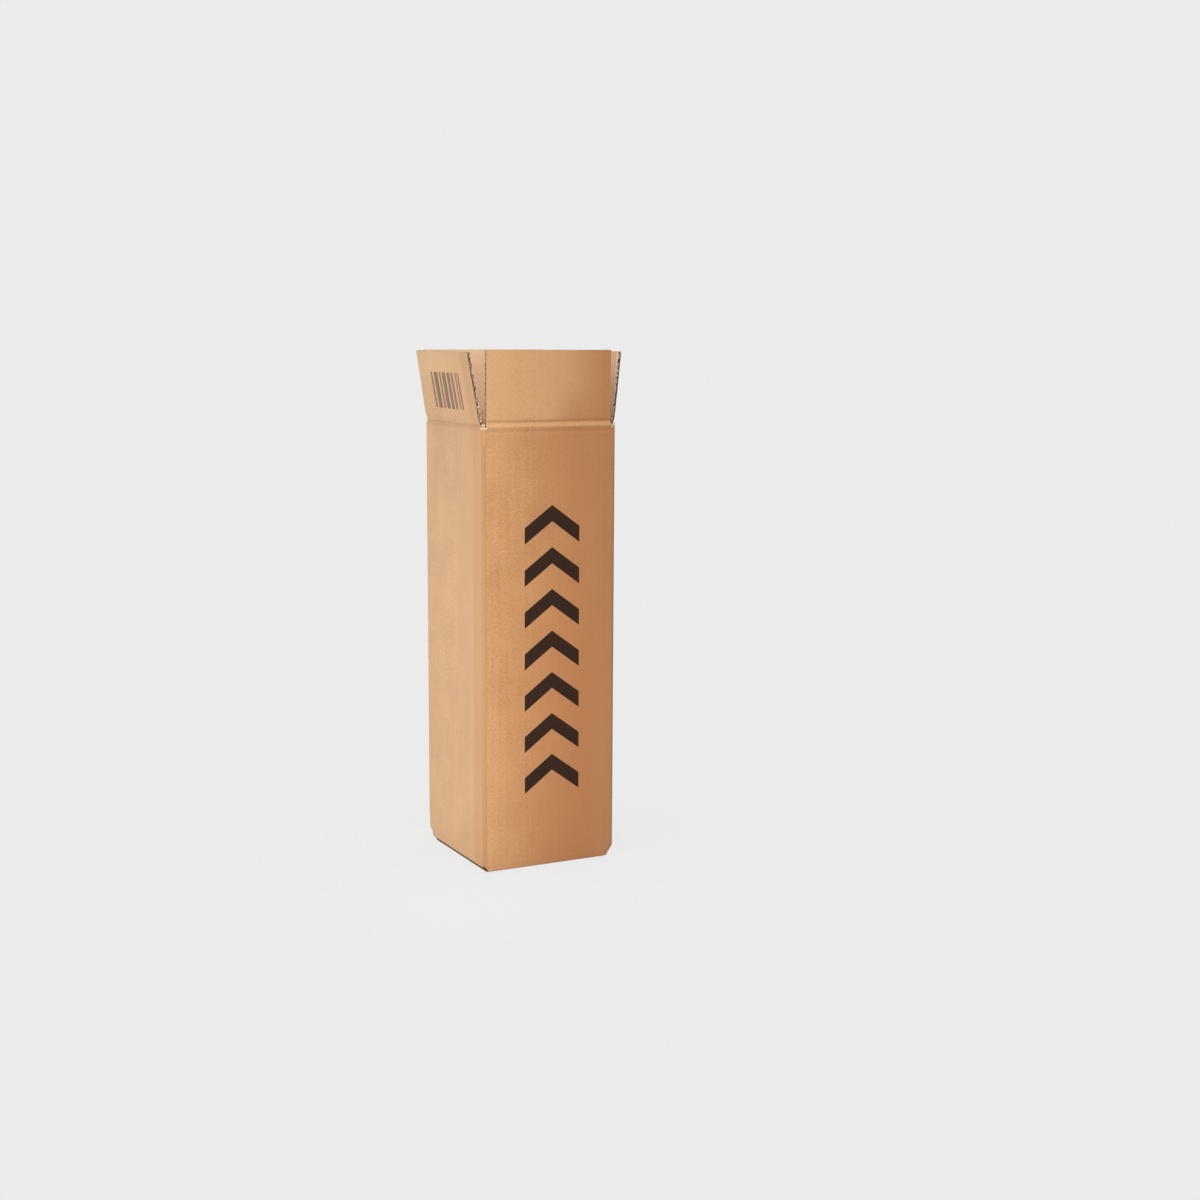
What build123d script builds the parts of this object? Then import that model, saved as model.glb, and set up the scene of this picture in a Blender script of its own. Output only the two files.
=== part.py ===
from build123d import *
import math
import os

# A tall shipping carton for one bottle, folded from a single sheet of corrugated board.
# Millimetres, +Z up, origin on the ground under the middle of the carton, front wall facing -Y.

# The carton, outside, with all flaps closed
box_width = 126.0          # along X, across the front
box_depth = 126.0          # along Y, front to back
box_height = 390.0         # ground to the top of the closed outer flaps

# The corrugated board
board = 3.0                # caliper of the whole board
liner = 0.4                # each flat facing sheet
medium = 0.35              # the waved sheet between them
flute_pitch = 6.3          # crest to crest, flutes run upright

# Creases and slots
crush = 1.2                # how far the crease pulls the outer face in
wall_ramp = 5.0            # height of the pressed strip below a top crease
flap_ramp = 3.0            # height of the pressed strip above a top crease
score_drop = 10.0          # from a top crease down to the fine score line on the wall
score_width = 2.4          # width of that line
score_depth = 0.4          # depth of that line
slot_width = 6.6           # cut between two neighbouring flaps, centred on the corner
slot_overcut = 1.5         # how far a slot runs past the lower crease into the corner
corner_radius = 3.0        # outer bend of the upright corners
inner_corner_radius = 0.8  # inner bend of the upright corners
fold_radius = 2.5          # outer bend where a wall turns under the carton

# Clearances
layer_gap = 0.3            # between closed inner and outer flaps
crease_gap = 0.2           # from the crease line to either side of the joint
edge_gap = 0.3             # a flap's side edges swing this far clear of the corners
seam_gap = 0.5             # where two bottom flaps, or the two side flaps on top, meet in the middle
outer_seam_gap = 5.0       # what the closed front and back flaps leave open between them

# The glue lap inside the rear right corner
lap_width = 33.0
lap_taper = 12.0           # how much shorter the lap's free edge is, at each end
lap_end_gap = 5.0          # from the lap's ends to the folded flaps
lap_slit = 0.4             # crack beside the raw end of the back wall
raw_end_setback = 0.4      # the back wall's raw end stops this short of the right face

# How far each open flap leans out from upright, in degrees
front_lean_angle = 0.5
back_lean_angle = 14.0
left_lean_angle = 10.5
right_lean_angle = 6.5

outer_crease = box_height - crush                 # crease height of the front and back flaps
inner_crease = outer_crease - board - layer_gap   # crease height of the side flaps
mitre_drop = board - crush                        # rise of the mitre across the pressed board
slot_bottom = inner_crease - slot_overcut
corner_foot = board + slot_overcut                # the upright corners start here


def wall_profile(reach, ground, crease):
    """Side view of one wall with its bottom flap, (y, z) points, outer face at y = -reach."""
    outer = -reach
    inner = outer + board
    seam = -seam_gap / 2
    score = crease - score_drop
    mitre_start = crease - crease_gap
    bend_middle = fold_radius * (1 - math.sqrt(0.5))
    lower = Polyline((inner, ground + board), (seam, ground + board), (seam, ground),
                     (outer + fold_radius, ground))
    bend = ThreePointArc((outer + fold_radius, ground), (outer + bend_middle, ground + bend_middle),
                         (outer, ground + fold_radius))
    upper = Polyline((outer, ground + fold_radius), (outer, score - score_width / 2),
                     (outer + score_depth, score), (outer, score + score_width / 2),
                     (outer, crease - wall_ramp), (outer + crush, mitre_start),
                     (inner, mitre_start - mitre_drop), (inner, ground + board))
    return lower + bend + upper


def flap_profile(reach, crease, length):
    """Side view of one top flap standing upright, outer face at y = -reach."""
    outer = -reach
    mitre_start = crease + crease_gap
    return Polyline((outer + crush, mitre_start), (outer, crease + flap_ramp), (outer, crease + length),
                    (outer + board, crease + length), (outer + board, mitre_start + mitre_drop), close=True)


def across(profile, width):
    """Sweep a side view along X, centred on the YZ plane."""
    return extrude(make_face(Plane.YZ * profile), width / 2, dir=(1, 0, 0), both=True)


def flute_channels(width, reach, bottom, top):
    """The hollows on both sides of the waved medium, as upright prisms."""
    swing = (board - 2 * liner - medium) / 2
    half_section = [(0.42 * flute_pitch, 0), (0.25 * flute_pitch, swing), (0.09 * flute_pitch, 1.86 * swing)]
    left_half = [(-x, y) for x, y in reversed(half_section)]
    channel = make_face(Polyline(half_section + left_half, close=True))
    reach_count = int(width / flute_pitch / 2) + 1
    outer_skin = -reach + liner
    inner_skin = -reach + board - liner
    sections = []
    for index in range(-reach_count, reach_count + 1):
        sections.append(Pos(index * flute_pitch, inner_skin, bottom) * Rot(0, 0, 180) * channel)
        sections.append(Pos((index + 0.5) * flute_pitch, outer_skin, bottom) * channel)
    return [extrude(section, top - bottom, dir=(0, 0, 1)) for section in sections]


def top_flap(span, reach, crease, gap, lean):
    """One open top flap on the front side, leaning out about its crease; closed, it ends half a gap short."""
    length = reach - crush - gap / 2
    width = span - slot_width - 2 * edge_gap
    flap = across(flap_profile(reach, crease, length), width)
    pressed_edge = crease + flap_ramp + board / 2
    flap -= flute_channels(width, reach, pressed_edge, crease + length + board)
    hinge = Axis((0, crush - reach, crease), (1, 0, 0))
    return flap.rotate(hinge, lean)


def corner_posts():
    """The bent upright corners between the slots, with the back wall's raw end at the rear right."""
    outline = Rectangle(box_width, box_depth)
    bent = [v for v in outline.vertices() if v.X < 0 or v.Y < 0]
    outline = fillet(bent, corner_radius)
    hollow = Rectangle(box_width - 2 * board, box_depth - 2 * board)
    hollow = fillet(hollow.vertices(), inner_corner_radius)
    side_panels = Rectangle(box_width, box_depth - slot_width)
    end_panels = Rectangle(box_width - slot_width, box_depth)
    section = outline - hollow - side_panels - end_panels
    posts = extrude(Pos(0, 0, corner_foot) * section, slot_bottom - corner_foot)
    raw_end = Pos(box_width / 2, box_depth / 2, box_height / 2) * Box(
        2 * raw_end_setback, 2 * board, box_height)
    crack = Pos(box_width / 2, box_depth / 2 - board + lap_slit / 2, box_height / 2) * Box(
        2 * board, lap_slit, box_height)
    return posts - raw_end - crack


def glue_lap():
    """The lap folded from the right wall and glued inside the back wall."""
    low = 2 * board + lap_end_gap
    high = inner_crease - mitre_drop - lap_end_gap
    root = box_width / 2 - board / 2
    free = box_width / 2 - board - lap_width
    face = make_face(Plane.XZ * Polyline((root, low), (free, low + lap_taper), (free, high - lap_taper),
                                         (root, high), close=True))
    return Pos(0, box_depth / 2 - board, 0) * extrude(face, board, dir=(0, -1, 0))


def body():
    """Walls, glue lap and bottom flaps: the inner bottom flaps lie on the outer ones."""
    front = across(wall_profile(box_depth / 2, 0, outer_crease), box_width - slot_width)
    right = across(wall_profile(box_width / 2, board, inner_crease), box_depth - slot_width)
    walls = [front, Rot(0, 0, 180) * front, Rot(0, 0, 90) * right, Rot(0, 0, -90) * right]
    return corner_posts() + walls + glue_lap()


parts = {
    "box_body": body(),
    "front_flap": top_flap(box_width, box_depth / 2, outer_crease, outer_seam_gap, front_lean_angle),
    "back_flap": Rot(0, 0, 180) * top_flap(box_width, box_depth / 2, outer_crease, outer_seam_gap,
                                           back_lean_angle),
    "left_flap": Rot(0, 0, -90) * top_flap(box_depth, box_width / 2, inner_crease, seam_gap,
                                           left_lean_angle),
    "right_flap": Rot(0, 0, 90) * top_flap(box_depth, box_width / 2, inner_crease, seam_gap,
                                           right_lean_angle),
}

os.makedirs("parts", exist_ok=True)
for name, shape in parts.items():
    export_step(shape, f"parts/{name}.step")
    print(name, "volume", round(shape.volume, 1), "valid", shape.is_valid)
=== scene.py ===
import math
import random

import bpy
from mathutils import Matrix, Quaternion, Vector, noise


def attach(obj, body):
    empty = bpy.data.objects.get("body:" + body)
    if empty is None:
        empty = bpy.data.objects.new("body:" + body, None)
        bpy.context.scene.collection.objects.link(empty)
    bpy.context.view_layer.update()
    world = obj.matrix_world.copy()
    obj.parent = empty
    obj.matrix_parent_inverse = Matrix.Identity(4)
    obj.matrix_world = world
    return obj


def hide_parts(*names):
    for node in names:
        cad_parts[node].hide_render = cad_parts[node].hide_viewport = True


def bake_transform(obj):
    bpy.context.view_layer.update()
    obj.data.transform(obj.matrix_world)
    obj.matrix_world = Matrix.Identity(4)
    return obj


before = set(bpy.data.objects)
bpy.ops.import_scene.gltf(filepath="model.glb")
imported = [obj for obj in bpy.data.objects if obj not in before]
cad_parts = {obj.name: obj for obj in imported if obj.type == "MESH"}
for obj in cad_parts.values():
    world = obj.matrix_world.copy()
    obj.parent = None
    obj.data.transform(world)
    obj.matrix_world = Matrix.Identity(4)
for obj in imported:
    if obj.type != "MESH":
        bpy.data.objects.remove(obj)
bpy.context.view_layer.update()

# A tall bottle carton, die cut and folded from one sheet of corrugated board.
# The shape is worked out in millimetres and turned into metres when a mesh is made.
# Every point has a place on the flat, unfolded sheet: u across it, 0 in the middle of
# the front wall, v up it, 0 at the ground, and d into it, 0 on the outer face.
METRE = 0.001

SIDE = 126.0            # width of each of the four walls, outside
HALF = SIDE / 2
BOARD = 3.0             # caliper of the board
LINER = 0.4             # each flat facing sheet
MEDIUM = 0.3            # the waved sheet between them
PITCH = 6.3             # crest to crest of its flutes
PANEL = 59.4            # half the width of a flap; the rest of a wall is corner
CRUSH = 1.2             # how deep a top crease is pressed from outside
JOIN = 384.0            # slot bottoms, and where the walls' mesh hands over to the flaps'
OUTER_REACH = 59.3      # crease to the free edge of the front and back flaps
INNER_REACH = 61.55     # the same for the side flaps
POST_FOOT = 4.5         # slot tops at the bottom corners
SEAM = 0.25             # half the gap where two bottom flaps meet
WALL_HOLLOW = 0.35      # how far the middle of a wall lies in

# The upright corners
CORNER_START = 60.0     # from a wall's middle to where the bend starts
CORNER_LENGTH = 6.0     # sheet that the quarter turn takes up
CORNER_RADIUS = 3.0     # outer radius
INNER_CORNER_RADIUS = 0.8
PRESSED = 62.5          # creases and flutes shape the board this far from a wall's middle

# The bend under the carton
FOOT_RADIUS = 2.5       # outer radius
INNER_FOOT_RADIUS = 0.5
FOOT_BEND = 3.5         # sheet that the bend takes up, on either side of v = 0
FOOT_TOP = 9.0          # above this the wall isn't stretched by the bend

# The glue lap, which goes on from the right wall inside the back wall's raw end
RAW_END = -62.6         # the raw end, from the middle of the back wall
LAP_START = 59.7        # from here to its free edge it is cut shorter than the wall
LAP_ROOT = 62.5         # where its ends start to taper; all from the middle of the right wall
LAP_END = 96.0          # its free edge
LAP_LOW, LAP_HIGH = 11.0, 378.0    # heights of its two ends
LAP_TAPER = 12.0        # how much each end comes in from root to free edge
LAP_GAP = 0.1           # between the lap and the back wall's inner face
LAP_RADIUS = 2.5        # outer radius of its bend, which grows sharp towards the top
LAP_TOP_RADIUS = 0.6
INNER_LAP_RADIUS = 0.3

# Each wall by its number of quarter turns from the front
NAME = {0: "front", -1: "left", -2: "back", 1: "right"}
CREASE = {0: 388.8, -1: 385.5, -2: 388.8, 1: 385.5}     # height of the top crease
LEAN = {0: 0.5, -1: 10.5, -2: 14.0, 1: 6.5}             # degrees that the open flap leans out
GROUND = {0: 0.0, -1: 3.0, -2: 0.0, 1: 3.0}             # the side walls stand on the outer flaps
# Between these heights the board bends when a flap swings
FOLD = {0: (385.4, 392.2), -1: (384.0, 387.4), -2: (385.4, 392.2), 1: (384.0, 387.4)}

# A few side edges of the flaps differ from the rest; by wall and side, 1 being its right
CUT_IN = {(-1, 1): 2.6, (0, 1): 1.8}    # the die cut these further in
CURL = {(-1, -1): 1.25}                 # this one's free corner curls inward
USUAL_CURL = 0.225
TUFTS = {(0, -1): 2, (1, -1): 11}       # torn tufts in one of its clumps
USUAL_TUFTS = 6


def wall_of(u):
    """The wall that this place on the sheet belongs to."""
    return min(max(round(u / SIDE), -2), 1)


def from_middle(u):
    """Distance across the sheet from the middle of that wall."""
    return u - SIDE * wall_of(u)


def smooth(low, high, x):
    """0 below low, 1 above high, and an even turn between them."""
    t = min(max((x - low) / (high - low), 0.0), 1.0)
    return t * t * (3 - 2 * t)


def through(points, x):
    """A smooth line through (x, y) points, flat beyond its ends."""
    if x <= points[0][0]:
        return points[0][1]
    for (x0, y0), (x1, y1) in zip(points, points[1:]):
        if x <= x1:
            return y0 + (y1 - y0) * smooth(x0, x1, x)
    return points[-1][1]


# How far the board's faces are pressed in, by height from the crease
FRONT_AND_BACK_PRESS = [(-14.0, 0.0), (-11.4, -0.06), (-9.0, 0.36), (-7.9, 0.40), (-6.9, -0.06),
                        (-5.2, -0.20), (-1.0, 0.92), (0.0, CRUSH), (0.6, 0.72), (1.8, 0.36), (4.2, 0.12),
                        (8.0, 0.0)]
SIDE_PRESS = [(-13.0, 0.0), (-10.5, 0.0), (-8.6, 0.14), (-7.2, 0.0), (-4.6, -0.08), (-1.8, 0.70),
              (0.0, CRUSH), (1.4, 0.70), (2.8, 0.18), (3.8, 0.22), (5.0, 0.05), (7.0, 0.0)]
INSIDE_PRESS = [(-4.0, 0.0), (-1.6, 0.35), (0.0, 0.7), (1.6, 0.35), (4.0, 0.0)]
PRINT_THROUGH = 0.035       # how far the outer liner sinks between two flutes
CREASE_RIPPLE = 0.10        # how much further beside a crease
INNER_PRINT_THROUGH = 0.04


def pressed_out(wall, x, v):
    """Depth of the outer face below the wall's plane."""
    height = v - CREASE[wall]
    press = through(FRONT_AND_BACK_PRESS if wall % 2 == 0 else SIDE_PRESS, height)
    if v < JOIN + 0.01:
        press *= 1 - smooth(PANEL, PANEL + 2.4, abs(x))
    near = math.exp(-(height / 5.0) ** 2)
    flute = 0.5 - 0.5 * math.cos(2 * math.pi * x / PITCH)
    ripple = noise.noise(Vector((x * 0.11, v * 0.02, wall * 7.3)))
    return press + flute * (PRINT_THROUGH + CREASE_RIPPLE * near) + 0.06 * near * ripple


def pressed_in(wall, x, v):
    """Depth of the inner face, measured from inside."""
    flute = 0.5 + 0.5 * math.cos(2 * math.pi * x / PITCH)
    return through(INSIDE_PRESS, v - CREASE[wall]) + flute * INNER_PRINT_THROUGH


def depth(wall, x, v, d):
    """True depth of a layer that lies d deep in unpressed board."""
    share = d / BOARD
    return pressed_out(wall, x, v) * (1 - share) + (BOARD - pressed_in(wall, x, v)) * share


def turned(wall, x, y, z):
    """From a wall's own axes, outer face at y = -HALF, to the carton's."""
    x, y = ((x, y), (-y, x), (-x, -y), (y, -x))[wall % 4]
    return x, y, z


def hollow_of(x, v):
    """A wall is never quite flat: a slight hollow, strongest in the middle of its height."""
    across = 1 - (x / PANEL) ** 2 if abs(x) < PANEL else 0.0
    return WALL_HOLLOW * across * math.sin(math.pi * min(max(v / JOIN, 0.0), 1.0))


def bottom_fold(ground, v, d):
    """Side view of the bend under the carton: y and z in a wall's own axes."""
    radius = FOOT_RADIUS - d * (FOOT_RADIUS - INNER_FOOT_RADIUS) / BOARD
    centre = radius + d
    if v >= FOOT_TOP:
        return -HALF + d, v
    if v >= FOOT_BEND:
        low = ground + centre
        return -HALF + d, low + (FOOT_TOP - low) * (v - FOOT_BEND) / (FOOT_TOP - FOOT_BEND)
    if v > -FOOT_BEND:
        angle = math.pi / 2 * (FOOT_BEND - v) / (2 * FOOT_BEND)
        return -HALF + centre - radius * math.cos(angle), ground + centre - radius * math.sin(angle)
    run = (-v - FOOT_BEND) / (HALF - SEAM - FOOT_BEND)
    return -HALF + centre + run * (HALF - SEAM - centre), ground + d


# For three upright corners, by their place on the sheet: how far the foot is knocked in,
# and how high up that reaches
CORNER_KNOCK = {-189.0: (3.4, 14.0), -63.0: (0.5, 8.0), 63.0: (2.2, 11.0)}
KNOCK_SPREAD = 11.0     # it fades out this far to each side, and under the carton


def knocked(u, v):
    """How far the foot of the nearest knocked corner is pushed in, at this place."""
    corner = min(CORNER_KNOCK, key=lambda middle: abs(u - middle))
    most, height = CORNER_KNOCK[corner]
    beside = 1 - smooth(0.0, KNOCK_SPREAD, abs(u - corner))
    return most * beside * (1 - smooth(2.0, height, v)) * smooth(-KNOCK_SPREAD, -1.0, v)


def lap_fold(x, v, d, y):
    """The right wall's rear bend into the glue lap, in the wall's own axes."""
    outer = LAP_TOP_RADIUS + (LAP_RADIUS - LAP_TOP_RADIUS) * (1 - smooth(366, LAP_HIGH, v))
    edge = HALF - BOARD - LAP_GAP
    radius = outer + (INNER_LAP_RADIUS - outer) * d / BOARD
    centre = edge - radius - d
    start, stop = edge + LAP_GAP - outer, edge + outer
    if x <= start:
        return x * centre / start, y
    if x < stop:
        angle = math.pi / 2 * (x - start) / (stop - start)
        return centre + radius * math.sin(angle), -HALF + radius + d - radius * math.cos(angle)
    return centre + radius, -HALF + radius + d + (x - stop)


def corner_fold(x, y, d):
    """An upright corner's bend, in the wall's own axes; a layer between two bends fits its width to them."""
    radius = CORNER_RADIUS - d + INNER_CORNER_RADIUS * max(d, 0) / BOARD
    centre = HALF - radius - d
    if abs(x) <= CORNER_START:
        return x * (centre / CORNER_START), y
    angle = math.pi / 2 * (abs(x) - CORNER_START) / CORNER_LENGTH
    return math.copysign(centre + radius * math.sin(angle), x), -centre - radius * math.cos(angle)


def on_walls(u, v, d):
    """A point of the folded walls and bottom flaps."""
    wall = wall_of(u)
    x = from_middle(u)
    ground = GROUND[wall]
    if wall == 1 and x > LAP_ROOT:
        middle = (LAP_LOW + LAP_HIGH) / 2
        shorter = (x - LAP_ROOT) / (LAP_END - LAP_ROOT) * 2 * LAP_TAPER / (LAP_HIGH - LAP_LOW)
        v = middle + (v - middle) * (1 - shorter)
    if abs(x) > PANEL:
        ground += (BOARD / 2 - ground) * min((abs(x) - PANEL) / (HALF - PANEL), 1)
    if abs(x) < PRESSED:
        d = depth(wall, x, v, d)
    y, z = bottom_fold(ground, v, d)
    y += hollow_of(x, v)
    if wall == 1 and x > 0:
        x, y = lap_fold(x, v, d, y)
    elif not (wall == -2 and x < 0):
        x, y = corner_fold(x, y, d)
    knock = knocked(u, v)
    return turned(wall, x - math.copysign(knock, x), y + knock, z)


def on_flap(wall):
    """Gives the function that places a point of one open top flap and the strip below it."""
    crease = CREASE[wall]
    start, stop = FOLD[wall]

    def place(u, v, d):
        x = u - SIDE * wall
        side = math.copysign(1, x)
        cut_in = CUT_IN.get((wall, side), 0.0) * smooth(JOIN, JOIN + 2.0, v)
        x *= 1 - cut_in / PANEL
        curl = CURL.get((wall, side), USUAL_CURL) * smooth(6, 60, v - crease) * abs(x / PANEL) ** 4
        angle = math.radians(LEAN[wall]) * smooth(start, stop, v)
        across, up = depth(wall, x, v, d) - CRUSH + curl, v - crease
        y = -HALF + CRUSH + across * math.cos(angle) - up * math.sin(angle)
        z = crease + across * math.sin(angle) + up * math.cos(angle)
        return turned(wall, x, y, z)
    return place


OUTER, INNER, CUT, WAVED = range(4)    # material slots of a piece of board
SHARP_TURN = math.radians(38)          # an edge that turns by more isn't shaded smooth


def toward(total):
    """1, -1 or 0, as total is more than, less than or equal to nothing."""
    return math.copysign(1, total) if total else 0


class Board:
    """Points and faces of one piece of board; each point keeps its place on the flat sheet."""

    def __init__(self, place):
        self.place = place
        self.points, self.flat, self.faces, self.finish = [], [], [], []

    def point(self, u, v, d):
        self.points.append(self.place(u, v, d))
        self.flat.append((u, v, d))
        return len(self.points) - 1

    def face(self, points, finish):
        self.faces.append(tuple(points))
        self.finish.append(finish)

    def slab(self, us, vs, near, far, finish, there=None, rim=((0.0, 0.0), (1.0, 0.0)), ragged=None):
        """A closed slab between depths near(u) and far(u), with there saying which cells it has.

        rim gives a cut edge's section as (share of the depth, inset) points, and ragged how
        far the cut wanders.
        """
        across, up = len(us) - 1, len(vs) - 1
        cells = {(i, j) for i in range(across) for j in range(up) if there is None or there(us, vs, i, j)}
        corners = {}
        for i, j in cells:
            for a, b in ((i, j), (i + 1, j), (i + 1, j + 1), (i, j + 1)):
                corners.setdefault((a, b), []).append((2 * (i - a) + 1, 2 * (j - b) + 1))
        inward = {}
        top, under = {}, {}
        for (a, b), around in corners.items():
            u, v = us[a], vs[b]
            if len(around) < 4:
                du, dv = toward(sum(c[0] for c in around)), toward(sum(c[1] for c in around))
                inward[a, b] = (du, dv)
                rough = ragged(u, v) if ragged else 0.0
                if rough:
                    wander = abs(noise.noise(Vector((u * 1.3, v * 1.3, 4.0))) + random.uniform(0, 0.6))
                    u, v = u + du * rough * wander, v + dv * rough * wander
            top[a, b] = self.point(u, v, near(u))
            under[a, b] = self.point(u, v, far(u))
        for i, j in sorted(cells):
            ring = ((i, j), (i + 1, j), (i + 1, j + 1), (i, j + 1))
            self.face((top[p] for p in ring), finish[0])
            self.face((under[p] for p in reversed(ring)), finish[1])
        chains = {}

        def chain(p):
            """The points of the cut edge's section at one corner, made once."""
            if p not in chains:
                du, dv = inward[p]
                u, v, _ = self.flat[top[p]]
                low, high = near(u), far(u)
                inner = [self.point(u + du * inset, v + dv * inset, low + (high - low) * share)
                         for share, inset in rim[1:-1]]
                chains[p] = [top[p], *inner, under[p]]
            return chains[p]

        for i, j in sorted(cells):
            for step, ends in (((0, -1), ((i, j), (i + 1, j))), ((1, 0), ((i + 1, j), (i + 1, j + 1))),
                               ((0, 1), ((i + 1, j + 1), (i, j + 1))), ((-1, 0), ((i, j + 1), (i, j)))):
                if (i + step[0], j + step[1]) in cells:
                    continue
                first, second = chain(ends[0]), chain(ends[1])
                for n in range(len(first) - 1):
                    self.face((second[n], first[n], first[n + 1], second[n + 1]), CUT)

    def spike(self, u, v, d, du, dv, dd, width):
        """One torn paper fibre: a closed, three-sided spike that starts on a cut edge."""
        base = []
        for n in range(3):
            turn = 2 * math.pi * n / 3
            base.append(self.point(u, v + width * math.cos(turn), d + width * math.sin(turn)))
        tip = self.point(u + du, v + dv, d + dd)
        self.face(reversed(base), CUT)
        for n in range(3):
            self.face((base[n], base[(n + 1) % 3], tip), CUT)

    def made(self, name, materials):
        """The mesh in metres, as an object, with each point's place on the sheet as an attribute."""
        mesh = bpy.data.meshes.new(name)
        mesh.from_pydata([Vector(p) * METRE for p in self.points], [], self.faces)
        flat = mesh.attributes.new("flat", "FLOAT_VECTOR", "POINT")
        flat.data.foreach_set("vector", [c for p in self.flat for c in p])
        for material in materials:
            mesh.materials.append(material)
        mesh.polygons.foreach_set("material_index", self.finish)
        mesh.shade_smooth()
        mesh.set_sharp_from_angle(angle=SHARP_TURN)
        mesh.update()
        piece = bpy.data.objects.new(name, mesh)
        bpy.context.scene.collection.objects.link(piece)
        return piece


def spread(low, high, step):
    """Even steps from low to high, both kept."""
    count = max(1, math.ceil((high - low) / step))
    return [low + (high - low) * n / count for n in range(count + 1)]


class Shade:
    """A node's output; Python arithmetic on it adds the Math nodes."""

    def __init__(self, tree, socket=None):
        self.tree, self.socket = tree, socket

    def node(self, kind, settings, sockets, output=0):
        """A new node: its settings first, then the values or links of its sockets."""
        made = self.tree.nodes.new(kind)
        for name, value in settings.items():
            setattr(made, name, value)
        for name, value in sockets.items():
            if isinstance(value, Shade):
                self.tree.links.new(value.socket, made.inputs[name])
            else:
                made.inputs[name].default_value = value
        return Shade(self.tree, made.outputs[output])

    def math(self, operation, *values, clamp=False):
        settings = {"operation": operation, "use_clamp": clamp}
        return self.node("ShaderNodeMath", settings, dict(enumerate(values)))

    def __add__(self, other):
        return self.math("ADD", self, other)

    def __radd__(self, other):
        return self.math("ADD", other, self)

    def __sub__(self, other):
        return self.math("SUBTRACT", self, other)

    def __rsub__(self, other):
        return self.math("SUBTRACT", other, self)

    def __mul__(self, other):
        return self.math("MULTIPLY", self, other)

    def __rmul__(self, other):
        return self.math("MULTIPLY", other, self)

    def __truediv__(self, other):
        return self.math("DIVIDE", self, other)

    def __rtruediv__(self, other):
        return self.math("DIVIDE", other, self)

    def __abs__(self):
        return self.math("ABSOLUTE", self)

    def kept(self):
        """The same value, kept between 0 and 1."""
        return self.math("ADD", self, 0.0, clamp=True)

    def step(self, low, high):
        """0 below low, 1 above high, smooth between; low above high turns it round."""
        return self.node("ShaderNodeMapRange", {"interpolation_type": "SMOOTHSTEP"},
                         {"Value": self, "From Min": low, "From Max": high})

    def between(self, low, high, soft):
        """1 from low to high and 0 outside, with soft edges."""
        return self.step(low - soft, low + soft) * self.step(high + soft, high - soft)

    def part(self, n):
        """One of a vector's three parts."""
        return self.node("ShaderNodeSeparateXYZ", {}, {"Vector": self}, output=n)

    def stretched(self, factors):
        return self.node("ShaderNodeVectorMath", {"operation": "MULTIPLY"}, {0: self, 1: factors})

    def spun(self, angle):
        return self.node("ShaderNodeVectorRotate", {"rotation_type": "Z_AXIS"},
                         {"Vector": self, "Angle": angle})

    def mottle(self, scale, detail=2.0, roughness=0.5):
        return self.node("ShaderNodeTexNoise", {},
                         {"Vector": self, "Scale": scale, "Detail": detail, "Roughness": roughness})

    def mixed(self, factor, colour, other):
        """A colour that turns into another one as factor goes from 0 to 1."""
        return self.node("ShaderNodeMix", {"data_type": "RGBA"}, {"Factor": factor, 6: colour, 7: other},
                         output=2)

    def over(self, factor, colour):
        """This colour with another laid over it, where factor is 1."""
        return self.mixed(factor, self, colour)


def new_material(name):
    """An empty material, its shader, and a start for its nodes."""
    material = bpy.data.materials.new(name)
    material.use_nodes = True
    tree = material.node_tree
    tree.nodes.clear()
    shader = tree.nodes.new("ShaderNodeBsdfPrincipled")
    out = tree.nodes.new("ShaderNodeOutputMaterial")
    tree.links.new(shader.outputs[0], out.inputs[0])
    return material, shader, Shade(tree)


def feed(shader, name, value):
    value.tree.links.new(value.socket, shader.inputs[name])


def place_on_sheet(nodes):
    """The point's place on the flat sheet, a vector of u, v and d."""
    return nodes.node("ShaderNodeAttribute", {"attribute_name": "flat"}, {}, output="Vector")


def flute_wave(nodes, u):
    """1 over each crest of the flutes and -1 halfway between two."""
    return nodes.math("COSINE", u * (2 * math.pi / PITCH))


def from_fold(nodes, u):
    """Distance across the sheet to the nearest upright corner of the carton."""
    return abs(abs(u - nodes.math("ROUND", u / SIDE) * SIDE) - HALF)


def bumped(nodes, shader, strength, height):
    """Fine relief, a tenth of a millimetre deep at most."""
    sockets = {"Strength": strength, "Distance": 0.1 * METRE, "Height": height}
    feed(shader, "Normal", nodes.node("ShaderNodeBump", {}, sockets))


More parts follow.
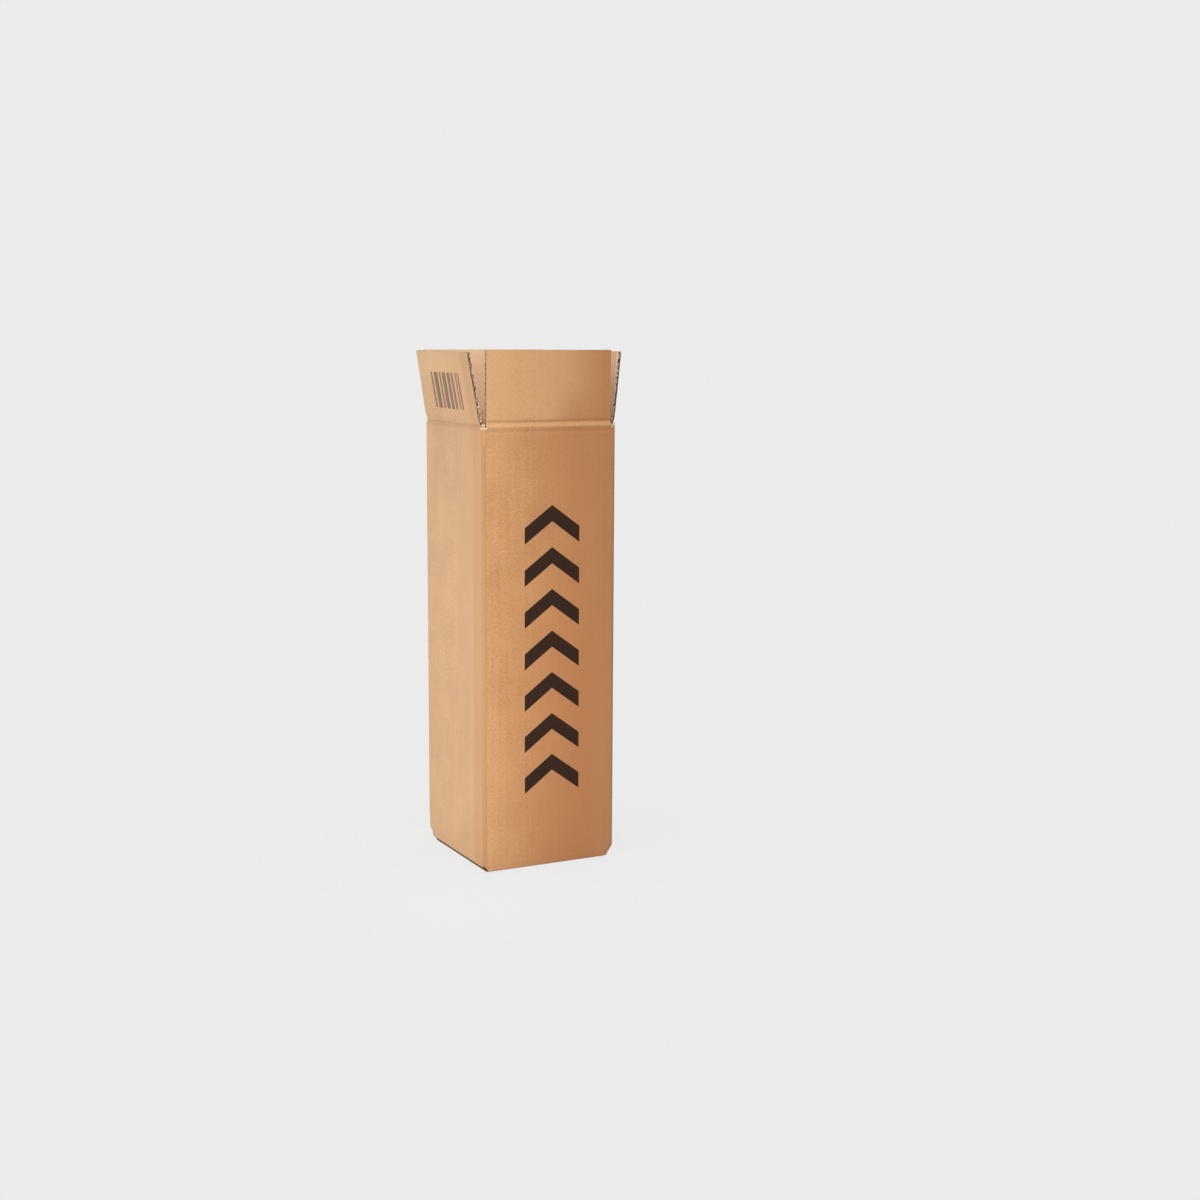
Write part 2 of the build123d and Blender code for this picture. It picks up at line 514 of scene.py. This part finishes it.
def paper(name, tone, dark, light, ribs=1.0, grain=1.0, roughness=0.72, sheen=0.06, gloss=0.5, marks=None):
    """Kraft paper: cloudy tone, fine fibres, faint ribs of the flutes behind it, then its own marks."""
    material, shader, nodes = new_material(name)
    flat = place_on_sheet(nodes)
    u, v, d = (flat.part(n) for n in range(3))
    cloud = flat.mottle(0.028, 3.0)
    fleck = flat.mottle(0.45, 3.0, 0.65)
    long_fibres = flat.spun(0.5).stretched((0.5, 2.6, 1.0)).mottle(1.0)
    cross_fibres = flat.spun(-0.9).stretched((0.45, 2.2, 1.0)).mottle(1.0)
    streak = flat.stretched((0.24, 0.014, 1.0)).mottle(1.0)
    tone_shift = (cloud - 0.5) * 0.75 + (streak - 0.5) * (0.4 * ribs) + (fleck - 0.5) * (0.55 * grain)
    tone_shift += (long_fibres - 0.5) * (0.5 * grain) + (cross_fibres - 0.5) * (0.4 * grain)
    tone_shift += flute_wave(nodes, u) * (0.028 * ribs)
    darker = (0.0 - tone_shift).step(0.0, 0.42)
    paler = tone_shift.step(0.0, 0.42)
    colour = nodes.mixed(darker, (*tone, 1), (*dark, 1)).over(paler, (*light, 1))
    specks = flat.mottle(1.7, 1.0).step(0.72, 0.8)
    colour = colour.over(specks * (0.35 * grain), (*dark, 1))
    if marks:
        colour = marks(nodes, colour, u, v, d, fleck)
    feed(shader, "Base Color", colour)
    feed(shader, "Roughness", roughness + (fleck - 0.5) * 0.2)
    bumped(nodes, shader, 0.25 * grain, fleck * 0.5 + long_fibres * 0.3 + cross_fibres * 0.3)
    shader.inputs["Sheen Weight"].default_value = sheen
    shader.inputs["Sheen Roughness"].default_value = 0.6
    shader.inputs["Specular IOR Level"].default_value = gloss
    return material


# Painted shade on the front wall's right side and lower middle
FRONT_SHADE_KRAFT = (0.465, 0.176, 0.053, 1)
# Painted shade on the left wall's near half
NEAR_CORNER_SHADE_KRAFT = (0.455, 0.213, 0.080, 1)
# Painted shade beside the near corner's bend
BESIDE_BEND_SHADE_KRAFT = (0.405, 0.166, 0.036, 1)
# Painted shade on the bent corners
CORNER_BEND_SHADE_KRAFT = (0.415, 0.200, 0.080, 1)
# Painted light on the paler areas and the front flap, and rubbed wear with a painted highlight on the ridge
# below the creases
LIT_AND_RUBBED_KRAFT = (0.70, 0.41, 0.20, 1)
SCORED_KRAFT = (0.30, 0.13, 0.055, 1)
SHADED_KRAFT = (0.50, 0.27, 0.15, 1)
# White of torn paper; at the flaps' free edges also painted light
TORN_AND_LIT_WHITE = (0.80, 0.64, 0.52, 1)
# Painted shade in the hollows of the board's cut edges and flutes
HOLLOW_SHADE = (0.13, 0.045, 0.024, 1)


def outer_marks(nodes, colour, u, v, d, fleck):
    """The outer face: painted light and shade in broad tones and beside the near corner, rubbed folds partly
    painted as highlight, and scores.
    """
    fold = from_fold(nodes, u)
    on_left_wall = u.between(-SIDE - HALF, -HALF, 0.5)
    on_front_wall = abs(u).step(HALF + 1, HALF)
    middle = v.step(60.0, 150.0) * v.step(370.0, 290.0)

    # Painted light: paler at the left wall's foot and top, on the left flap, and at the ends of the front's
    # left side
    left_flap = v.step(387.5, 391.0) * 0.12 + v.step(405.0, 440.0) * 0.36
    top_rear = v.between(350.0, 384.0, 10.0) * u.step(-150.0, -182.0) * 0.16
    paler = (v.step(120.0, 40.0) * 0.3 + left_flap + top_rear) * on_left_wall
    paler += (1.0 - middle) * u.step(-12.0, -55.0) * on_front_wall * 0.16
    colour = colour.over(paler, LIT_AND_RUBBED_KRAFT)

    # Painted shade: darker towards the front's right side, and in its lower middle
    lower_middle = v.step(300.0, 160.0) * u.between(-48.0, 44.0, 10.0)
    deeper = (u.step(-48.0, 30.0) * 0.72 + lower_middle * 0.2) * on_front_wall
    colour = colour.over(deeper, FRONT_SHADE_KRAFT)

    # Painted shade on the left wall's near half, deepest in a strip beside the near corner
    near_half = on_left_wall * u.step(-SIDE, 8 - SIDE)
    strip = (fold.step(27.0, 21.0) * 0.2 + fold.step(75.0, 30.0) * (0.35 + middle * 0.4)) * near_half
    bend_side_shade = fold.step(23.0, 17.0) * near_half * (0.45 + middle * 0.3)
    colour = colour.over(strip, NEAR_CORNER_SHADE_KRAFT).over(bend_side_shade, BESIDE_BEND_SHADE_KRAFT)

    # Painted shade on the bent corners, dimming the light that their bends catch
    bend = fold.step(3.6, 2.4) * v.step(372.0, 366.0)
    colour = colour.over(bend * 0.9, CORNER_BEND_SHADE_KRAFT)

    # Painted light on the front flap but for its lower right, and the rubbed ridge below the creases, partly
    # a painted highlight
    flap_tone = 0.46 + u.step(-55.0, -5.0) * 0.1 + (fleck - 0.5) * 0.35
    lower_right = v.step(425.0, 397.0) * u.step(-5.0, 25.0)
    lit_flap = v.step(387.5, 391.0) * on_front_wall * u.step(64.0, 8.0) * flap_tone * (1.0 - lower_right * 0.6)
    ridge = (v.between(383.6, 387.6, 0.7) * (1.0 - on_left_wall)).kept()
    colour = colour.over((lit_flap + ridge * (0.42 + (fleck - 0.5) * 0.5)).kept(), LIT_AND_RUBBED_KRAFT)

    # Fine lines beside the corners and at the foot, and torn liner at the slot bottoms
    beside = fold.between(1.5, 2.3, 0.4)
    foot_line = v.between(4.9, 5.6, 0.4)
    colour = colour.over((beside * 0.2 + foot_line * 0.22).kept(), SCORED_KRAFT)
    slot_foot = v.between(382.2, 383.6, 0.4) * fold.step(5.0, 4.2)
    return colour.over(slot_foot * (0.2 + fleck * 0.8), TORN_AND_LIT_WHITE)


def edge_marks(nodes, colour, u, v, d, fleck):
    """A cut edge: painted shade in the hollow under the outer liner, white torn paper towards the inner one.
    """
    at_side = from_fold(nodes, u).step(6.5, 4.8)
    hollow = d.between(0.25, 1.5, 0.12) * (1.7 - fleck * 1.6).kept() * at_side
    torn = d.between(1.6, 2.75, 0.25) * (fleck + 0.10).step(0.45, 0.60)
    return colour.over(hollow, HOLLOW_SHADE).over(torn, TORN_AND_LIT_WHITE)


def wave_marks(nodes, colour, u, v, d, fleck):
    """Painted shade inside the board up to its cut sides, and pale at the flaps' free edges: torn paper, and
    painted light over the shade in the flute hollows.
    """
    inside = from_fold(nodes, u).step(12.0, 6.5)
    free_edge = v.step(443.5, 446.5)
    return colour.over(inside * 0.7, HOLLOW_SHADE).over(free_edge * 0.5, TORN_AND_LIT_WHITE)


def inner_marks(nodes, colour, u, v, d, fleck):
    """Painted shade: the inner face is a deeper, redder tone towards the top creases, where the inside lies
    in shade.
    """
    return colour.over(v.step(472.0, 392.0) * v.step(330.0, 372.0) * 0.6, SHADED_KRAFT)


def ink(name, tone, paper_tone, cover):
    """Water-based ink on kraft: a thin uneven coat that lets the paper through in specks."""
    material, shader, nodes = new_material(name)
    flat = place_on_sheet(nodes)
    fleck = flat.mottle(0.9, 3.0, 0.7)
    thin = fleck + flute_wave(nodes, flat.part(0)) * -0.03 + (flat.mottle(0.06) - 0.5) * 0.2
    feed(shader, "Base Color", nodes.mixed(thin.step(cover, cover + 0.2), (*tone, 1), (*paper_tone, 1)))
    feed(shader, "Roughness", 0.6 + (fleck - 0.5) * 0.3)
    bumped(nodes, shader, 0.2, fleck)
    shader.inputs["Specular IOR Level"].default_value = 0.15
    return material


outer_liner = paper("outer_kraft_liner", (0.52, 0.250, 0.102), (0.41, 0.181, 0.066), (0.60, 0.313, 0.142),
                    grain=2.4, roughness=0.62, sheen=0.2, marks=outer_marks)
inner_liner = paper("inner_kraft_liner", (0.68, 0.44, 0.285), (0.55, 0.33, 0.20), (0.76, 0.52, 0.36),
                    grain=1.2, roughness=0.8, sheen=0.08, marks=inner_marks)
cut_edge = paper("cut_board_edge", (0.46, 0.27, 0.16), (0.20, 0.10, 0.055), (0.72, 0.56, 0.43),
                 ribs=0.0, grain=2.0, roughness=0.9, sheen=0.0, gloss=0.05, marks=edge_marks)
fluting = paper("fluted_medium", (0.42, 0.25, 0.14), (0.28, 0.15, 0.08), (0.55, 0.40, 0.27),
                ribs=0.0, grain=1.6, roughness=0.85, sheen=0.0, gloss=0.05, marks=wave_marks)
torn_fibre = paper("torn_fibre", (0.80, 0.64, 0.52), (0.52, 0.34, 0.23), (0.88, 0.77, 0.68),
                   ribs=0.0, grain=1.5, roughness=0.9, sheen=0.1, gloss=0.15)
brown_ink = ink("brown_flexo_ink", (0.030, 0.013, 0.007), (0.15, 0.075, 0.035), 0.63)
grey_ink = ink("thin_grey_brown_ink", (0.235, 0.140, 0.105), (0.42, 0.25, 0.15), 0.57)
BOARD_FINISHES = [outer_liner, inner_liner, cut_edge, fluting]
TORN_FINISHES = [torn_fibre] * (CUT + 1)    # torn paper uses the slot of the cut edges only


# Walls and bottom
random.seed(11)

# Section of the walls' cut edges: both liners reach out, and the waved sheet parts two channels
CHANNEL_RIM = ((0.0, 0.0), (0.13, 0.05), (0.17, 1.3), (0.42, 1.0), (0.5, 0.25), (0.58, 0.9), (0.83, 1.3),
               (0.87, 0.05), (1.0, 0.0))


def wall_columns():
    """Places across the whole sheet, from the back wall's raw end to the glue lap's free edge."""
    columns = [-2 * SIDE + x for x in (RAW_END, -61.5, -60.4)]
    for wall in (-2, -1, 0, 1):
        columns += [wall * SIDE + x for x in spread(-PANEL, PANEL, PITCH / 6)]
        if wall < 1:
            columns += [wall * SIDE + CORNER_START + CORNER_LENGTH * n / 8 for n in range(9)]
    columns += [SIDE + LAP_START + n * 0.35 for n in range(9)]
    return columns + spread(SIDE + 63.0, SIDE + LAP_END, 3.0)


def wall_rows():
    """Places up the sheet, from the middle of the bottom to the slot bottoms, closer at each bend."""
    rows = spread(-HALF + SEAM, -12, 9) + [-6.0] + spread(-FOOT_BEND, FOOT_BEND, 0.7)
    rows += [POST_FOOT, 6.5, FOOT_TOP] + spread(LAP_LOW, 370, 19)
    return rows + spread(371, LAP_HIGH, 0.7) + spread(378.4, JOIN, 0.5)


def wall_cell(us, vs, i, j):
    """Where the die left board: slots at the corners' top and bottom, and a shorter glue lap."""
    u, v = (us[i] + us[i + 1]) / 2, (vs[j] + vs[j + 1]) / 2
    if wall_of(u) == 1 and from_middle(u) > LAP_START:
        return LAP_LOW < v < LAP_HIGH
    return v > POST_FOOT or abs(from_middle(u)) < PANEL


def wall_raggedness(u, v):
    """The cut wanders, but not where the flaps' meshes go on from this one."""
    return 0.0 if v > JOIN - 0.1 and abs(from_middle(u)) <= PANEL + 0.01 else 0.15


walls_sheet = Board(on_walls)
walls_sheet.slab(wall_columns(), wall_rows(), lambda u: 0.0, lambda u: BOARD, (OUTER, INNER), wall_cell,
                 CHANNEL_RIM, wall_raggedness)
walls = walls_sheet.made("folded_walls", BOARD_FINISHES)
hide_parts("box_body")
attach(walls, "carton")


# Top flaps
MEDIUM_SETBACK = 1.1    # the waved sheet ends this far inside the liners
LONGEST_FIBRE = 0.42    # a flap swings this close to its neighbours
FIBRES, FLAKES = 150, 40                # along each side edge
FIBRE_DEPTHS = (0.2, 2.7, 2.4, 1.9)     # where in the board's thickness a fibre starts


def waved(side):
    """Depth of one face of the medium: it touches the outer liner in the middle of the flap."""
    swing = (BOARD - 2 * LINER - MEDIUM) / 2
    return lambda u: BOARD / 2 - swing * math.cos(2 * math.pi * from_middle(u) / PITCH) + side * MEDIUM / 2


def free_edge_of(wall):
    return CREASE[wall] + (OUTER_REACH if wall % 2 == 0 else INNER_REACH)


def flap_rows(wall):
    """Places up a flap, close together at its crease."""
    crease, top = CREASE[wall], free_edge_of(wall)
    rows = spread(JOIN, crease + 5, 0.45) + spread(crease + 5.8, crease + 9, 0.8)
    return rows + spread(crease + 13, top - 2, 5.5) + [top - 1, top]


def flap_raggedness(u, v):
    return 0.0 if v < JOIN + 0.1 else 0.18


def fringe(board, wall):
    """Torn paper along the slot-cut side edges: fine fibres, wide tufts in clumps, flakes over the hollow."""
    crease, top = CREASE[wall], free_edge_of(wall)
    for sign in (-1, 1):
        edge = wall * SIDE + sign * (PANEL - 0.15)
        for _ in range(FIBRES):
            v = random.uniform(crease + 1.0, top - 0.2)
            reach = random.uniform(0.15, LONGEST_FIBRE) if v > crease + 6 else random.uniform(0.08, 0.25)
            board.spike(edge, v, random.choice(FIBRE_DEPTHS), sign * reach, random.uniform(-0.5, 0.5),
                        random.uniform(-0.3, 0.3), random.uniform(0.08, 0.2))
        v = crease + 3.0
        while v < top - 1.5:
            for _ in range(TUFTS.get((wall, sign), USUAL_TUFTS)):
                board.spike(edge, v + random.gauss(0, 0.9), random.uniform(1.7, 2.7),
                            sign * random.uniform(0.4, 1.0) * LONGEST_FIBRE, random.uniform(-1.4, 1.4),
                            random.uniform(-0.2, 0.4), random.uniform(0.35, 0.6))
            v += random.uniform(3.0, 6.5)
        for _ in range(FLAKES):
            v = random.uniform(crease + 2.0, top - 1.0)
            board.spike(edge - sign * 0.2, v, random.uniform(0.8, 2.2), sign * 0.25,
                        random.uniform(-1.6, 1.6), random.uniform(-0.6, 0.6), random.uniform(0.25, 0.5))


def on_crease(wall, height):
    """A point in metres on the pressed line of a wall's crease, at another height."""
    return tuple(Vector(turned(wall, 0.0, -HALF + CRUSH, height)) * METRE)


def top_flap(wall):
    """One open top flap, from the slot bottoms up: two liners and the waved sheet, and its torn edges."""
    name = NAME[wall]
    us = [wall * SIDE + x for x in spread(-PANEL, PANEL, PITCH / 8)]
    medium_reach = PANEL - MEDIUM_SETBACK
    medium_us = [wall * SIDE + x for x in spread(-medium_reach, medium_reach, PITCH / 8)]
    vs = flap_rows(wall)
    sheet = Board(on_flap(wall))
    sheet.slab(us, vs, lambda u: 0.0, lambda u: LINER, (OUTER, WAVED), ragged=flap_raggedness)
    sheet.slab(medium_us, vs, waved(-1), waved(1), (WAVED, WAVED), ragged=flap_raggedness)
    sheet.slab(us, vs, lambda u: BOARD - LINER, lambda u: BOARD, (WAVED, INNER), ragged=flap_raggedness)
    flap = sheet.made(f"{name}_flap_board", BOARD_FINISHES)
    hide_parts(f"{name}_flap")
    start, stop = FOLD[wall]
    on_crease(wall, start)
    on_crease(wall, stop)
    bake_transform(flap)

    fibres = Board(on_flap(wall))
    fringe(fibres, wall)
    tufts = fibres.made(f"{name}_flap_torn_fibres", TORN_FINISHES)
    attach(tufts, f"{name}_flap")


for flap_wall in NAME:
    top_flap(flap_wall)


# Half the width of each lip at a slot bottom, its lower and upper edge, and how far it bows out
LIPS = ((2.5, 385.4, 387.0, 0.60), (3.3, 383.2, 384.3, 0.45))
LIP_THICKNESS = 0.55
LIP_ROOT = 0.35         # depth in the board at which a lip's ends start
LIP_RIM = ((0.0, 0.0), (0.3, 0.22), (0.7, 0.22), (1.0, 0.0))
LIP_SAG = 0.7           # how much lower a lip lies at the corner than at its ends


def on_slot_bottom(u, v, d):
    """A place on a lip, which follows the top of the corner and sags at its bend."""
    sag = max(0.0, 1 - (abs(abs(from_middle(u)) - HALF) / 3.0) ** 2)
    x, y, _ = on_walls(u, min(v, JOIN - 0.5), d)
    return x, y, v - LIP_SAG * sag


def slot_curls():
    """At three slot bottoms the cut has left a curled lip of torn liner, standing over a smaller one."""
    board = Board(on_slot_bottom)
    for corner in CORNER_KNOCK:
        for reach, low, high, out in LIPS:
            us = [corner + reach * n / 8 for n in range(-8, 9)]
            rows = [low + (high - low) * n / 6 for n in range(7)]

            def front(u, corner=corner, reach=reach, out=out):
                return LIP_ROOT - out * (1 - ((u - corner) / reach) ** 2)

            board.slab(us, rows, front, lambda u, front=front: front(u) + LIP_THICKNESS, (CUT, CUT),
                       rim=LIP_RIM, ragged=lambda u, v: 0.25)
    return board


curls = slot_curls().made("slot_bottom_curls", TORN_FINISHES)
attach(curls, "carton")


# Print
INK_FILM = 0.02         # thickness of the ink
INK_SUNK = 0.15         # how deep the film's closed underside lies in the liner


def printed(name, place, patches, material, body):
    """Flat print: each patch is a list of columns, the height of its lower and upper edge, and its steps."""
    board = Board(place)
    for us, low, high, steps in patches:
        def on_patch(u, t, d, low=low, high=high):
            return u, low(u) + (high(u) - low(u)) * t, d

        grid = Board(lambda u, t, d, on_patch=on_patch: place(*on_patch(u, t, d)))
        rows = [n / steps for n in range(steps + 1)]
        grid.slab(us, rows, lambda u: -INK_FILM, lambda u: INK_SUNK, (OUTER, OUTER))
        shift = len(board.points)
        board.points += grid.points
        board.flat += [on_patch(*p) for p in grid.flat]
        for face in grid.faces:
            board.face((shift + n for n in face), OUTER)
    piece = board.made(name, [material])
    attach(piece, body)


CHEVRONS = 7
CHEVRON_MIDDLE, CHEVRON_HALF = 2.0, 26.0        # across the sheet: middle, and half the width
CHEVRON_FIRST, CHEVRON_PITCH = 66.0, 36.3       # height of the lowest one's ends, and spacing
CHEVRON_RISE, CHEVRON_STROKE = 19.0, 14.0       # from its ends to its point, and its stroke upwards


def chevron(n):
    """One chevron of the column on the front wall, counted from below."""
    foot = CHEVRON_FIRST + n * CHEVRON_PITCH

    def low(u):
        return foot + CHEVRON_RISE * (1 - abs(u - CHEVRON_MIDDLE) / CHEVRON_HALF)

    us = spread(CHEVRON_MIDDLE - CHEVRON_HALF, CHEVRON_MIDDLE, 0.8)
    us += spread(CHEVRON_MIDDLE, CHEVRON_MIDDLE + CHEVRON_HALF, 0.8)[1:]
    return us, low, lambda u: low(u) + CHEVRON_STROKE, 6


# Plain bars on the left flap: left edge from the flap's middle, and width
BARS = ((-31.0, 3.4), (-24.0, 8.2), (-12.4, 3.4), (-5.8, 7.6), (5.2, 6.0), (14.2, 4.6), (23.4, 2.6),
        (28.4, 3.2))
BARS_LOW, BARS_HIGH = 397.5, 429.0


def bar(x, width):
    """One upright bar on the left flap."""
    us = spread(x - SIDE, x - SIDE + width, 0.8)
    return us, lambda u: BARS_LOW, lambda u: BARS_HIGH, 12


printed("front_wall_chevrons", on_walls, [chevron(n) for n in range(CHEVRONS)], brown_ink, "carton")
printed("left_flap_bars", on_flap(-1), [bar(x, width) for x, width in BARS], grey_ink, "left_flap")


# Camera
CAMERA_PLACE = (-0.6732, -1.4503, 0.4647)
CAMERA_YAW, CAMERA_PITCH, CAMERA_ROLL = (math.radians(a) for a in (27.48, 8.474, 0.33))

camera = bpy.data.objects.new("camera", bpy.data.cameras.new("camera"))
bpy.context.scene.collection.objects.link(camera)
camera.location = CAMERA_PLACE
look = Vector((math.sin(CAMERA_YAW), math.cos(CAMERA_YAW), -math.tan(CAMERA_PITCH)))
camera.rotation_mode = "QUATERNION"
camera.rotation_quaternion = look.to_track_quat("-Z", "Y") @ Quaternion((0, 0, 1), CAMERA_ROLL)
camera.data.lens = 54.34
camera.data.sensor_width = 36
bpy.context.scene.camera = camera


# Floor and surroundings
BACKDROP = 0.831        # the pale grey of the photograph's ground, as linear light
WHITE = (1, 1, 1, 1)
SHADOW = 0.07           # share of the real shading that the camera sees on the floor near the carton


def rays(nodes, *kinds):
    """1 for a ray of any of these kinds, 0 for the others."""
    found = [nodes.node("ShaderNodeLightPath", {}, {}, output=f"Is {kind} Ray") for kind in kinds]
    return sum(found[1:], found[0]).kept()


def floor_material():
    """Pale floor that shows its own tone to the camera and keeps a soft shadow near the carton."""
    material = bpy.data.materials.new("pale_floor")
    material.use_nodes = True
    tree = material.node_tree
    tree.nodes.clear()
    nodes = Shade(tree)
    plain = nodes.node("ShaderNodeEmission", {}, {"Color": WHITE, "Strength": BACKDROP})
    lit = nodes.node("ShaderNodeBsdfDiffuse", {}, {"Color": (0.74, 0.74, 0.74, 1)})
    place = nodes.node("ShaderNodeNewGeometry", {}, {})
    distance = nodes.node("ShaderNodeVectorMath", {"operation": "LENGTH"}, {0: place}, output=1)
    fade = (1 - SHADOW) + distance.step(0.10, 0.30) * SHADOW
    plain_share = rays(nodes, "Camera", "Glossy") * fade
    seen_floor = nodes.node("ShaderNodeMixShader", {}, {0: plain_share, 1: lit, 2: plain})
    out = tree.nodes.new("ShaderNodeOutputMaterial")
    tree.links.new(seen_floor.socket, out.inputs[0])
    return material


FLOOR_REACH = 14.0      # metres from the carton to the floor's edges
floor_mesh = bpy.data.meshes.new("floor")
floor_corners = [(FLOOR_REACH * x, FLOOR_REACH * y, 0) for x, y in ((-1, -1), (1, -1), (1, 1), (-1, 1))]
floor_mesh.from_pydata(floor_corners, [], [(0, 1, 2, 3)])
floor_mesh.materials.append(floor_material())
floor = bpy.data.objects.new("floor", floor_mesh)
floor.location.z = -0.0002      # a little under the carton's underside, so that the two don't meet
bpy.context.scene.collection.objects.link(floor)

world = bpy.data.worlds.new("studio")
world.use_nodes = True
bpy.context.scene.world = world
air = world.node_tree
air.nodes.clear()
sky = Shade(air)
fill = sky.node("ShaderNodeBackground", {}, {"Color": (1.0, 0.96, 0.94, 1), "Strength": 0.29})
seen_ground = sky.node("ShaderNodeBackground", {}, {"Color": WHITE, "Strength": BACKDROP})
seen_share = rays(sky, "Camera", "Glossy", "Transmission")
surroundings = sky.node("ShaderNodeMixShader", {}, {0: seen_share, 1: fill, 2: seen_ground})
air.links.new(surroundings.socket, air.nodes.new("ShaderNodeOutputWorld").inputs[0])


# Light
def soft_box(name, place, aim, wide, high, power, tone=(1, 1, 1)):
    """A rectangular studio lamp that faces the point it is aimed at."""
    lamp = bpy.data.lights.new(name, "AREA")
    lamp.shape, lamp.size, lamp.size_y = "RECTANGLE", wide, high
    lamp.energy, lamp.color = power, tone
    holder = bpy.data.objects.new(name, lamp)
    holder.location = place
    holder.rotation_euler = (Vector(aim) - Vector(place)).to_track_quat("-Z", "Y").to_euler()
    bpy.context.scene.collection.objects.link(holder)


soft_box("key_left_front", (-0.235, -0.26, 0.24), (0.0, -0.063, 0.30), 0.12, 0.48, 1.04, (1.0, 1.0, 0.89))
soft_box("side_left", (-0.36, 0.32, 0.33), (-0.063, 0.02, 0.42), 0.20, 0.70, 1.18, (0.94, 1.0, 0.80))
soft_box("overhead", (-0.06, -0.12, 1.0), (0.0, 0.0, 0.45), 0.4, 0.4, 5.9, (0.96, 1.0, 0.96))
soft_box("rear_right", (0.55, 0.50, 0.40), (0.0, 0.0, 0.22), 0.5, 0.7, 4.0)

bpy.context.scene.view_settings.view_transform = "Standard"
